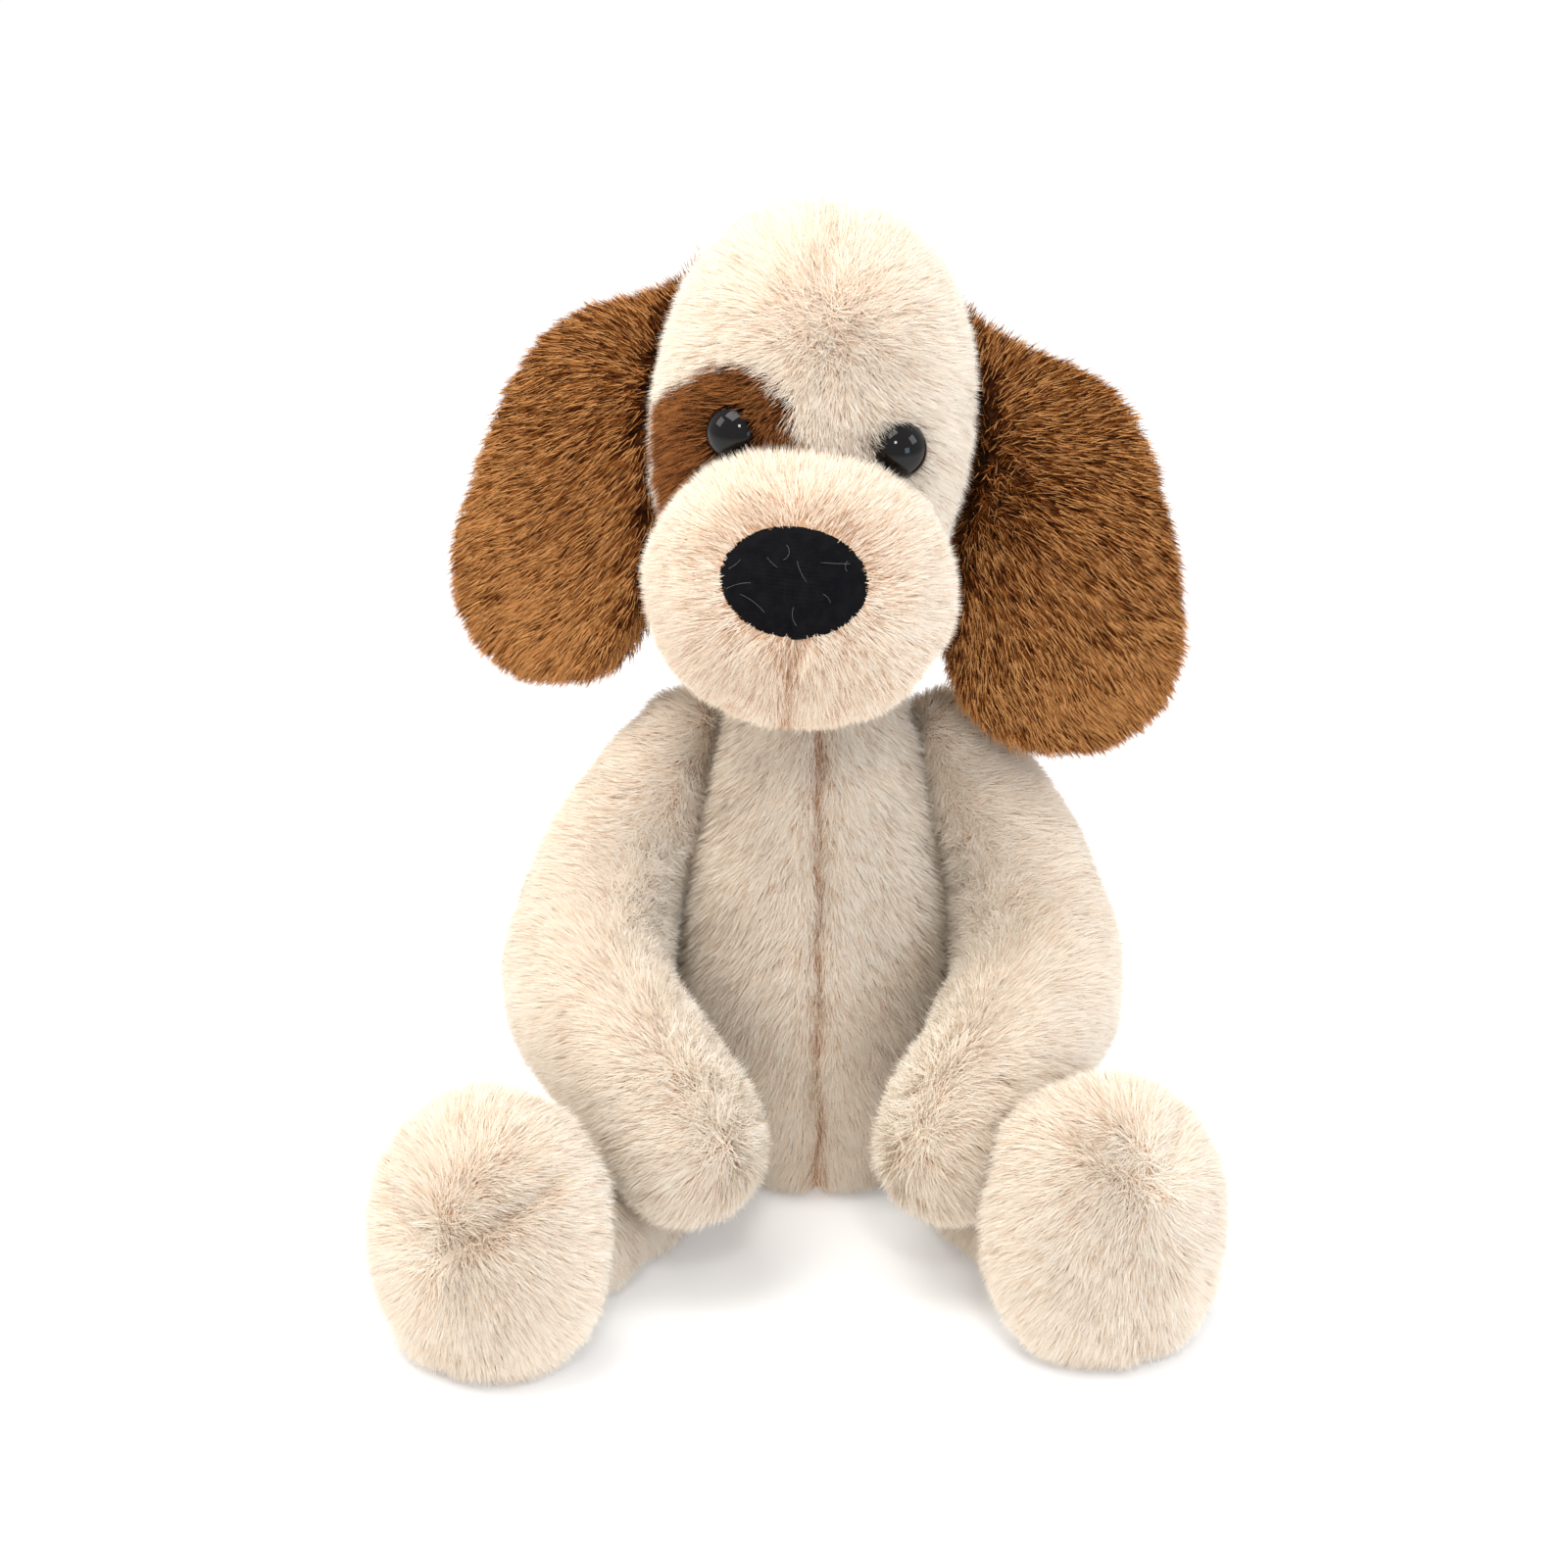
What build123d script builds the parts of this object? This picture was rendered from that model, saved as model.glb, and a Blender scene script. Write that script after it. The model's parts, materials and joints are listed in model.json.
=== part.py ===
from build123d import *

import math
import os

# A seated plush dog: sewn plush skins over fibre stuffing, with safety eyes and floppy ears.
#
# Millimetres, +Z up. The dog looks along -Y and its left side is +X. The origin is the centre of
# the flat seat that it sits on. The skins are the cloth with the roots of its pile; the free pile
# stands about 6 mm further out and isn't part of these solids.

# Cloth and fit
CLOTH = 2.0
FILL_GAP = 0.4
CUT_MARGIN = 0.3
BAG_ROOM = 0.5
FAR = 200.0

# Torso: height above the seat, half width, half depth, and how far forward the ring's centre is
TORSO_RINGS = [
    (0.0, 31.0, 31.0, 0.0),
    (4.0, 34.5, 35.5, 0.5),
    (16.0, 37.5, 40.0, 1.0),
    (38.0, 38.5, 41.0, 1.5),
    (60.0, 37.5, 38.5, 1.5),
    (82.0, 34.0, 33.5, 0.5),
    (104.0, 28.5, 28.0, -1.0),
    (124.0, 23.0, 23.5, -2.0),
    (140.0, 18.5, 19.5, -3.0),
    (148.0, 16.0, 17.0, -3.5),
]
SIDE_SEAM_Y = 4.0
PELLET_BAG_RADII = (24.0, 24.0, 11.0)
PELLET_BAG_HEIGHT = 16.0

# Neck plug between the torso and the head
NECK_RADIUS = 11.0
NECK_BOTTOM = 148.6
NECK_TOP = 160.0

# Head: an egg tipped back and rolled a little towards the dog's left shoulder
HEAD_CENTRE = (-2.0, 3.0, 213.0)
HEAD_PITCH = 16.0
HEAD_ROLL = 6.0
SKULL_RADII = (38.5, 38.5, 50.5)
SKULL_FULLNESS = 0.80
SKULL_CROWN = 3.5
HEAD_SEAM_Y = 3.0
MUZZLE_CENTRE = (1.0, -30.0, -43.5)
MUZZLE_RADII = (37.5, 33.0, 31.5)
MUZZLE_SEAT_GAP = 0.3
NOSE_RADII = (18.0, 13.7)
NOSE_CENTRE = (0.0, -41.0)
NOSE_THICKNESS = 3.0

# Safety eyes: a dome on a ribbed shank, held by a washer inside the head
EYE_SPACING = 43.0
EYE_MIDDLE_X = 1.5
EYE_Z = -5.5
EYE_RADIUS = 7.5
EYE_DOME_HEIGHT = 6.0
EYE_RIM_THICKNESS = 1.2
EYE_BASE_Y = -33.5
EYE_TURN = 28.0
SHANK_RADIUS = 2.0
SHANK_LENGTH = 12.0
WASHER_RADIUS = 6.0
WASHER_THICKNESS = 1.5
WASHER_DEPTH = 8.0
WASHER_FIT = 0.1

# The brown patch round the dog's right eye, seen from the front of the head
EYE_PATCH_OUTLINE = [
    (-44.0, -4.0),
    (-33.0, 5.0),
    (-23.5, 11.0),
    (-14.5, 11.5),
    (-8.0, 6.0),
    (-2.5, -6.5),
    (-11.0, -15.0),
    (-30.0, -28.0),
    (-42.0, -27.0),
]

# Ears: one outline for both, measured from the root, outward and up
EAR_OUTLINE = [
    (0.0, -1.0),
    (20.0, -11.5),
    (40.0, -17.5),
    (53.5, -31.0),
    (62.0, -50.0),
    (69.5, -78.0),
    (67.0, -98.0),
    (53.0, -111.0),
    (36.0, -113.5),
    (19.0, -106.0),
    (10.5, -88.0),
    (10.0, -65.0),
    (13.5, -39.0),
    (9.0, -19.0),
]
EAR_ROOT = {"left": (33.9, 8.0, 34.0), "right": (-31.0, 12.0, 37.5)}
EAR_YAW = {"left": 4.0, "right": 30.0}
EAR_CLOTH = 2.5
EAR_WADDING = 3.4
EAR_PLY_GAP = 0.3
EAR_WADDING_INSET = 3.0

# Arms and legs for the dog's left side: centre line points with their radii. The right limbs
# are mirror images that lie a little further out.
ARM_STATIONS = [
    ((36.5, 10.0, 121.0), 9.5),
    ((42.0, 6.0, 110.0), 13.0),
    ((50.5, -2.0, 95.0), 16.0),
    ((57.0, -14.0, 79.0), 17.7),
    ((60.0, -30.0, 66.5), 18.6),
    ((56.5, -50.0, 61.5), 18.4),
    ((46.0, -69.5, 55.0), 17.4),
    ((35.0, -86.0, 42.0), 16.8),
]
ARM_REACH = {"left": 1.0, "right": 1.15}
LEG_STATIONS = [
    ((41.0, -40.5, 17.8), 16.0),
    ((48.5, -53.0, 18.0), 17.0),
    ((58.0, -69.0, 18.0), 17.0),
    ((67.0, -85.0, 18.1), 16.5),
    ((73.0, -96.0, 20.0), 16.0),
]
FOOT_CENTRE = (76.5, -109.0, 33.2)
FOOT_RADII = (28.0, 19.0, 33.5)
FOOT_FULLNESS = 0.84
FOOT_LEAN = 14.0
FOOT_TURN = 22.0
FOOT_ANKLE_GAP = 0.3
HIP = (41.0, -40.5, 17.8)
LEG_REST_TURN = {"left": -3.5, "right": -2.0}
LEG_REACH = {"left": 0.0, "right": 11.0}
LEG_RISE = {"left": 0.0, "right": 0.5}
FOOT_PELLET_RADII = (13.5, 7.5, 9.0)

# Tail at the back
TAIL_STATIONS = [
    ((0.0, 50.0, 20.0), 7.0),
    ((0.0, 58.0, 22.0), 8.5),
    ((0.0, 68.0, 28.0), 8.5),
    ((0.0, 76.0, 36.0), 7.0),
]

SIDE_SIGN = {"left": 1.0, "right": -1.0}
CAP_ANGLES = (30.0, 58.0, 78.0)
EGG_LATITUDES = (-78.0, -60.0, -38.0, -16.0, 16.0, 38.0, 60.0, 78.0)


def ellipsoid(radii, centre=(0.0, 0.0, 0.0), fullness=1.0, crown=0.0):
    """A closed egg lofted along Z.

    A fullness under 1 makes its ends broader, and a crown makes its upper half that much taller.
    """
    width, depth, height = radii
    sections = [Vertex(0.0, 0.0, -height)]
    for latitude in EGG_LATITUDES:
        turn = math.radians(latitude)
        spread = math.cos(turn) ** fullness
        half_height = height + (crown if latitude > 0.0 else 0.0)
        level = half_height * math.sin(turn)
        sections.append(Pos(0.0, 0.0, level) * Ellipse(width * spread, depth * spread))
    sections.append(Vertex(0.0, 0.0, height + crown))
    return Pos(*centre) * loft(sections)


def shrunk(radii, inset):
    return tuple(radius - inset for radius in radii)


def ring_face(centre, direction, radius):
    across = Vector(0.0, 0.0, 1.0).cross(direction)
    if across.length < 0.05:
        across = Vector(1.0, 0.0, 0.0)
    plane = Plane(origin=centre, x_dir=across.normalized(), z_dir=direction)
    return plane * Circle(radius)


def limb(stations, inset=0.0):
    """A round-ended tube through the stations, made smaller all round by the inset."""
    points = [Vector(*point) for point, _ in stations]
    radii = [radius - inset for _, radius in stations]
    last = len(points) - 1
    directions = []
    for index in range(last + 1):
        before = points[max(index - 1, 0)]
        after = points[min(index + 1, last)]
        directions.append((after - before).normalized())
    start_out, end_out = directions[0] * -1.0, directions[last]
    sections = [Vertex(*(points[0] + start_out * radii[0]))]
    for angle in reversed(CAP_ANGLES):
        turn = math.radians(angle)
        centre = points[0] + start_out * (radii[0] * math.sin(turn))
        sections.append(ring_face(centre, directions[0], radii[0] * math.cos(turn)))
    for point, direction, radius in zip(points, directions, radii):
        sections.append(ring_face(point, direction, radius))
    for angle in CAP_ANGLES:
        turn = math.radians(angle)
        centre = points[last] + end_out * (radii[last] * math.sin(turn))
        sections.append(ring_face(centre, directions[last], radii[last] * math.cos(turn)))
    sections.append(Vertex(*(points[last] + end_out * radii[last])))
    return loft(sections)


def on_side(solid, side):
    """A solid drawn for the dog's left, or its mirror image for the right."""
    return solid if side == "left" else mirror(solid, about=Plane.YZ)


def head_location():
    """Where the head's own frame lies: x to the dog's left, y back, z up."""
    pitch, roll = math.radians(HEAD_PITCH), math.radians(HEAD_ROLL)
    up = Vector(0.0, math.sin(pitch), math.cos(pitch))
    side = Vector(1.0, 0.0, 0.0)
    rolled_side = side * math.cos(roll) - up * math.sin(roll)
    rolled_up = up * math.cos(roll) + side * math.sin(roll)
    return Plane(origin=HEAD_CENTRE, x_dir=rolled_side, z_dir=rolled_up).location


def half_space(lowest, highest):
    size = [high - low for low, high in zip(lowest, highest)]
    middle = [(high + low) / 2.0 for low, high in zip(lowest, highest)]
    return Pos(*middle) * Box(*size)


LEFT_HALF = half_space((0.0, -FAR, -FAR), (FAR, FAR, 2.0 * FAR))
RIGHT_HALF = half_space((-FAR, -FAR, -FAR), (0.0, FAR, 2.0 * FAR))
HALVES = {"left": LEFT_HALF, "right": RIGHT_HALF}


def torso_form(inset):
    """The pear-shaped trunk, flat at the seat and at the neck."""
    sections = []
    for height, half_width, half_depth, forward in TORSO_RINGS:
        level = min(max(height, inset), TORSO_RINGS[-1][0] - inset)
        ring = Ellipse(half_width - inset, half_depth - inset)
        sections.append(Pos(0.0, -forward, level) * ring)
    return loft(sections)


def torso_parts():
    shell = torso_form(0.0) - torso_form(CLOTH)
    seat_cloth = shell & half_space((-FAR, -FAR, -1.0), (FAR, FAR, CLOTH))
    walls = shell & half_space((-FAR, -FAR, CLOTH), (FAR, FAR, FAR))
    front = half_space((-FAR, -FAR, -1.0), (FAR, SIDE_SEAM_Y, FAR))
    back = half_space((-FAR, SIDE_SEAM_Y, -1.0), (FAR, FAR, FAR))
    parts = {"seat_panel": seat_cloth}
    for side, half in HALVES.items():
        parts["belly_panel_" + side] = walls & front & half
        parts["back_panel_" + side] = walls & back & half
    bag_place = (0.0, 0.0, PELLET_BAG_HEIGHT)
    bag = ellipsoid(PELLET_BAG_RADII, bag_place)
    bag_room = ellipsoid(shrunk(PELLET_BAG_RADII, -BAG_ROOM), bag_place)
    parts["torso_stuffing"] = torso_form(CLOTH + FILL_GAP) - bag_room
    parts["pellet_bag"] = bag
    return parts


def neck_part():
    height = NECK_TOP - NECK_BOTTOM
    centre = (0.0, -TORSO_RINGS[-1][3], (NECK_TOP + NECK_BOTTOM) / 2.0)
    return Pos(*centre) * Cylinder(NECK_RADIUS, height)


def eye_frame(side):
    """The eye's own frame: its z points out of the face."""
    x = EYE_MIDDLE_X + SIDE_SIGN[side] * EYE_SPACING / 2.0
    turn = math.radians(EYE_TURN) * SIDE_SIGN[side]
    outward = Vector(math.sin(turn), -math.cos(turn), 0.0)
    return Plane(origin=(x, EYE_BASE_Y, EYE_Z), x_dir=(0.0, 0.0, 1.0), z_dir=outward).location


def eye_solid(margin):
    """The glossy dome and its shank, grown by a margin for cutting room round it."""
    radius, height = EYE_RADIUS + margin, EYE_DOME_HEIGHT + margin
    ball_radius = (radius * radius + height * height) / (2.0 * height)
    ball = Pos(0.0, 0.0, height - ball_radius) * Sphere(ball_radius)
    dome = ball & Pos(0.0, 0.0, height / 2.0) * Box(FAR, FAR, height)
    rim_middle = -EYE_RIM_THICKNESS / 2.0
    rim = Pos(0.0, 0.0, rim_middle) * Cylinder(radius, EYE_RIM_THICKNESS + 2.0 * margin)
    shank_height = SHANK_LENGTH + margin
    shank_middle = rim_middle - shank_height / 2.0
    shank = Pos(0.0, 0.0, shank_middle) * Cylinder(SHANK_RADIUS + margin, shank_height)
    return dome + rim + shank


def washer_solid():
    disc = Cylinder(WASHER_RADIUS, WASHER_THICKNESS)
    hole = Cylinder(SHANK_RADIUS + WASHER_FIT, 2.0 * WASHER_THICKNESS)
    return Pos(0.0, 0.0, -WASHER_DEPTH) * (disc - hole)


def patch_prism():
    outline = Spline(*EYE_PATCH_OUTLINE, periodic=True)
    return extrude(make_face(Plane.XZ * outline), amount=FAR / 2.0, both=True)


def skull_form(inset):
    return ellipsoid(shrunk(SKULL_RADII, inset), fullness=SKULL_FULLNESS, crown=SKULL_CROWN)


def head_parts():
    skull_fill = skull_form(CLOTH + FILL_GAP)
    shell = skull_form(0.0) - skull_form(CLOTH)
    parts = {}
    washers = {}
    eyes = {}
    for side in SIDE_SIGN:
        frame = eye_frame(side)
        eyes[side] = frame * eye_solid(0.0)
        washers[side] = frame * washer_solid()
        room = frame * eye_solid(CUT_MARGIN)
        pocket_depth = SHANK_LENGTH + 2.0
        pocket = Pos(0.0, 0.0, -pocket_depth / 2.0) * Cylinder(EYE_RADIUS + 1.0, pocket_depth)
        shell = shell - room
        skull_fill = skull_fill - frame * pocket

    muzzle = ellipsoid(MUZZLE_RADII, MUZZLE_CENTRE)
    muzzle_hollow = ellipsoid(shrunk(MUZZLE_RADII, CLOTH), MUZZLE_CENTRE)
    muzzle_fill = ellipsoid(shrunk(MUZZLE_RADII, CLOTH + FILL_GAP), MUZZLE_CENTRE)
    skull_keepout = skull_form(-MUZZLE_SEAT_GAP)
    for side in SIDE_SIGN:
        skull_keepout = skull_keepout + eye_frame(side) * eye_solid(CUT_MARGIN)
    muzzle_shell = muzzle - muzzle_hollow - skull_keepout
    seam_x = Pos(MUZZLE_CENTRE[0], 0.0, 0.0)
    for side, half in HALVES.items():
        parts["muzzle_" + side] = muzzle_shell & (seam_x * half)
    parts["muzzle_stuffing"] = muzzle_fill - skull_keepout

    nose_outline = Plane.XZ * (Pos(*NOSE_CENTRE) * Ellipse(*NOSE_RADII))
    nose_column = Pos(0.0, MUZZLE_CENTRE[1], 0.0) * extrude(nose_outline, amount=FAR / 2.0)
    nose_outside = ellipsoid(shrunk(MUZZLE_RADII, -NOSE_THICKNESS), MUZZLE_CENTRE)
    nose_inside = ellipsoid(shrunk(MUZZLE_RADII, -0.05), MUZZLE_CENTRE)
    parts["nose"] = (nose_outside & nose_column) - nose_inside

    front = half_space((-FAR, -FAR, -FAR), (FAR, HEAD_SEAM_Y, FAR))
    back = half_space((-FAR, HEAD_SEAM_Y, -FAR), (FAR, FAR, FAR))
    patch = patch_prism()
    front_cloth = shell & front
    parts["eye_patch"] = front_cloth & patch
    plain_front = front_cloth - patch
    back_cloth = shell & back
    for side, half in HALVES.items():
        parts["face_panel_" + side] = plain_front & half
        parts["head_back_" + side] = back_cloth & half
    parts["head_stuffing"] = skull_fill
    for side in SIDE_SIGN:
        parts["eye_" + side] = eyes[side]
        parts["eye_washer_" + side] = washers[side]
    return parts


def ear_parts(side):
    """Two plush panels with wadding between them, hanging from the root at the head's side."""
    sign = SIDE_SIGN[side]
    points = [(sign * out, up) for out, up in EAR_OUTLINE]
    outline = make_face(Plane.XZ * Spline(*points, periodic=True))
    middle = (sum(x for x, _ in points) / len(points), sum(z for _, z in points) / len(points))
    inner_points = []
    for x, z in points:
        reach = math.hypot(x - middle[0], z - middle[1])
        factor = 1.0 - EAR_WADDING_INSET / reach
        inner_points.append((middle[0] + (x - middle[0]) * factor, middle[1] + (z - middle[1]) * factor))
    inner = make_face(Plane.XZ * Spline(*inner_points, periodic=True))
    panel = extrude(outline, amount=EAR_CLOTH / 2.0, both=True)
    wadding = extrude(inner, amount=EAR_WADDING / 2.0, both=True)
    place = Pos(*EAR_ROOT[side]) * Rot(0.0, 0.0, sign * EAR_YAW[side])
    panel_shift = (EAR_WADDING + EAR_CLOTH) / 2.0 + EAR_PLY_GAP
    return {
        "ear_front_" + side: place * Pos(0.0, -panel_shift, 0.0) * panel,
        "ear_wadding_" + side: place * wadding,
        "ear_back_" + side: place * Pos(0.0, panel_shift, 0.0) * panel,
    }


def arm_parts(side):
    shoulder_x = ARM_STATIONS[0][0][0]
    reach = ARM_REACH[side]
    stations = []
    for (x, y, z), radius in ARM_STATIONS:
        stations.append(((shoulder_x + (x - shoulder_x) * reach, y, z), radius))
    return {
        "arm_skin_" + side: on_side(limb(stations) - limb(stations, CLOTH), side),
        "arm_stuffing_" + side: on_side(limb(stations, CLOTH + FILL_GAP), side),
    }


def foot_form(inset, centre):
    egg = ellipsoid(shrunk(FOOT_RADII, inset), fullness=FOOT_FULLNESS)
    return Pos(*centre) * (Rot(0.0, 0.0, FOOT_TURN) * Rot(-FOOT_LEAN, 0.0, 0.0) * egg)


def foot_pellet_form(inset, centre):
    place = Pos(centre[0], centre[1] + 2.0, centre[2] - 11.0)
    return place * (Rot(0.0, 0.0, FOOT_TURN) * ellipsoid(shrunk(FOOT_PELLET_RADII, inset)))


def leg_run(reach, rise):
    """The leg's stations and its foot's centre, with the leg drawn out by the reach."""
    hip_point, foot_point = Vector(*HIP), Vector(*FOOT_CENTRE)
    along = Vector(foot_point.X - hip_point.X, foot_point.Y - hip_point.Y, 0.0)
    stretch = 1.0 + reach / along.length
    stations = []
    for (x, y, z), radius in LEG_STATIONS:
        point = (HIP[0] + (x - HIP[0]) * stretch, HIP[1] + (y - HIP[1]) * stretch, z + rise)
        stations.append((point, radius))
    foot = (HIP[0] + along.X * stretch, HIP[1] + along.Y * stretch, FOOT_CENTRE[2])
    return stations, foot


def leg_parts(side):
    """Leg tube and foot bulb, turned about the hip to how the leg lies."""
    stations, foot = leg_run(LEG_REACH[side], LEG_RISE[side])
    foot_room = foot_form(-FOOT_ANKLE_GAP, foot)
    drawn = {
        "leg_skin_": limb(stations) - limb(stations, CLOTH) - foot_room,
        "leg_stuffing_": limb(stations, CLOTH + FILL_GAP) - foot_room,
        "foot_skin_": foot_form(0.0, foot) - foot_form(CLOTH, foot),
        "foot_stuffing_": foot_form(CLOTH + FILL_GAP, foot) - foot_pellet_form(-CUT_MARGIN, foot),
        "foot_pellets_": foot_pellet_form(0.0, foot),
    }
    hip = Axis((SIDE_SIGN[side] * HIP[0], HIP[1], HIP[2]), (0.0, 0.0, 1.0))
    turn = LEG_REST_TURN[side]
    return {name + side: on_side(solid, side).rotate(hip, turn) for name, solid in drawn.items()}


def main():
    os.makedirs("parts", exist_ok=True)
    parts = torso_parts()
    parts["neck_stuffing"] = neck_part()
    place = head_location()
    for name, solid in head_parts().items():
        parts[name] = place * solid
    for side in SIDE_SIGN:
        for name, solid in ear_parts(side).items():
            parts[name] = place * solid
        parts.update(arm_parts(side))
        parts.update(leg_parts(side))
    parts["tail_skin"] = limb(TAIL_STATIONS) - limb(TAIL_STATIONS, CLOTH)
    parts["tail_stuffing"] = limb(TAIL_STATIONS, CLOTH + FILL_GAP)
    for name, solid in parts.items():
        export_step(solid, os.path.join("parts", name + ".step"))


main()
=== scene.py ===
"""The looks of the seated plush dog: base skins, real pile strands, nose, eyes, light and camera.

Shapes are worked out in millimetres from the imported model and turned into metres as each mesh
is made. The dog looks along -Y and its left side is +X.
"""

import json
import math

import bmesh
import bpy
import numpy as np
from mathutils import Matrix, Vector


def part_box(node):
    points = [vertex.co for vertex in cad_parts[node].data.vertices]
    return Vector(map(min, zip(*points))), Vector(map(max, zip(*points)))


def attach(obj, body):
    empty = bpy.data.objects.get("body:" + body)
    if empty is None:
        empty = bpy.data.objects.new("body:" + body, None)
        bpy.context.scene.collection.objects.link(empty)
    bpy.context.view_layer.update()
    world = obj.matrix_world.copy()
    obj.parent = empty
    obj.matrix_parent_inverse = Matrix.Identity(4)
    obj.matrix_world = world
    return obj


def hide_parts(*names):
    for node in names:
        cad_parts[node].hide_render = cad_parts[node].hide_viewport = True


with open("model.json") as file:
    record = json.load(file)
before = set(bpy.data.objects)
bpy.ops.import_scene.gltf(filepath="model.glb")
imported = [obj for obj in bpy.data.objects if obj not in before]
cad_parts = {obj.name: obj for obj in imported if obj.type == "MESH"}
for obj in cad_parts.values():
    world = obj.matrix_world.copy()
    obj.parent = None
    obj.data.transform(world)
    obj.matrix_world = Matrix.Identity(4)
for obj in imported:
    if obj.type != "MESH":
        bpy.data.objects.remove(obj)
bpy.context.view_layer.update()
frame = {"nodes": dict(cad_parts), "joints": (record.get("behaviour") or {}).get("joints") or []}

MM = 0.001
SIDES = {"left": 1.0, "right": -1.0}
FUR_SCALE = 1.0

# The head's own frame, as the model has it: x to the dog's left, y back, z up
HEAD_CENTRE = np.array([-2.0, 3.0, 213.0])
HEAD_PITCH = math.radians(16.0)
HEAD_ROLL = math.radians(6.0)
SKULL_RADII = np.array([38.5, 38.5, 50.5])
MUZZLE_CENTRE = np.array([1.0, -30.0, -43.5])
MUZZLE_RADII = np.array([37.5, 33.0, 31.5])
NOSE_CENTRE = np.array([-0.7, -41.0])
NOSE_RADII = np.array([18.0, 13.7])
NOSE_MEAN_RADIUS = 15.0

# Where the sewn panels meet: the trunk's and the head's side seams, and the muzzle's middle seam
TRUNK_SEAM_Y = 4.0
HEAD_SEAM_Y = 3.0
MUZZLE_SEAM_X = 1.0

# The eyes' domes
EYE_RADIUS = 7.5
EYE_HEIGHT = 6.0
EYE_TURN = math.radians(28.0)
EYE_SPREAD = 21.5
EYE_MIDDLE = np.array([1.5, -33.5, -5.5])
BARE_ROUND_EYE = 7.3

# CLOTH is a skin with its gap over the stuffing, and DENSE_PILE is how far the closed lower part
# of the pile stands on the cloth
CLOTH = 2.4
DENSE_PILE = 1.6

# Strands: how far they spread from their tuft's root and how far their tips pull together again
STRANDS_PER_TUFT = 8
TUFT_SPREAD = 1.1
TUFT_PULL = 0.2
ROOT_DEPTH = 0.5
BEND_AT = 0.5
BEND = math.radians(14.0)

# How much tufts and strands differ: angles in radians, lengths as shares of the whole
TURN_JITTER = 0.10
LEAN_JITTER = 0.06
LENGTH_JITTER = 0.06
STRAND_JITTER = 0.13
TWIST_JITTER = 0.25
SHORTEST_STRAND = 0.74
LONGEST_GAIN = 0.32

# Shades: the deepest strands' shade, how much it differs, and how many shades a depth of 1 costs
FIRST_SHADE = 0.8
SHADE_JITTER = 0.32
SHADE_WANDER = 0.45
DEPTH_IN_SHADES = 3.0

# The seeds of the random draws, one for each skin. A right-hand skin takes the next number.
TRUNK_SEED = 11
NECK_SEED = 15
HEAD_SEED = 21
MUZZLE_SEED = 31
EAR_SEED = 41
ARM_SEED = 51
LEG_SEED = 61
FOOT_SEED = 71
TAIL_SEED = 81
FIBRE_SEED = 90

# Heights above the floor: of the skins, of the strands' tips, and of the lowest strands' roots
SKIN_CLEARANCE = 0.05
TIP_CLEARANCE = 0.3
ROOT_CLEARANCE = 0.8


# ---------------------------------------------------------------- small helpers

def unit(vectors):
    length = np.linalg.norm(vectors, axis=-1, keepdims=True)
    return vectors / np.maximum(length, 1e-9)


def dot(a, b):
    return (a * b).sum(axis=-1, keepdims=True)


def bump(distance, width):
    """1 at no distance, falling smoothly to 0 over about twice the width."""
    return np.exp(-(distance / width) ** 2)


def ramp(value, low, high):
    t = np.clip((value - low) / (high - low), 0.0, 1.0)
    return t * t * (3.0 - 2.0 * t)


def head_axes():
    up = np.array([0.0, math.sin(HEAD_PITCH), math.cos(HEAD_PITCH)])
    side = np.array([1.0, 0.0, 0.0])
    x_axis = side * math.cos(HEAD_ROLL) - up * math.sin(HEAD_ROLL)
    z_axis = up * math.cos(HEAD_ROLL) + side * math.sin(HEAD_ROLL)
    return np.array([x_axis, np.cross(z_axis, x_axis), z_axis])


HEAD_AXES = head_axes()


def to_head(points):
    return (points - HEAD_CENTRE) @ HEAD_AXES.T


def from_head(points):
    return np.asarray(points, float) @ HEAD_AXES + HEAD_CENTRE


def joint_line(name):
    """Where a hinge is, and its axis."""
    joint = next(joint for joint in frame["joints"] if joint["name"] == name)
    return np.array(joint["pos_m"]) / MM, np.array(joint["axis"])


class Waves:
    """Smooth repeatable noise, mostly within 1 of 0: a mean of sine waves in random directions."""

    GAIN = 1.6

    def __init__(self, seed, wavelength, count=10):
        rng = np.random.default_rng(seed)
        self.direction = unit(rng.normal(size=(count, 3))) * rng.uniform(0.7, 1.6, (count, 1))
        self.direction *= 2.0 * math.pi / wavelength
        self.phase = rng.uniform(0.0, 2.0 * math.pi, count)

    def __call__(self, points):
        return np.sin(points @ self.direction.T + self.phase).mean(axis=1) * self.GAIN


# ---------------------------------------------------------------- surfaces

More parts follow.
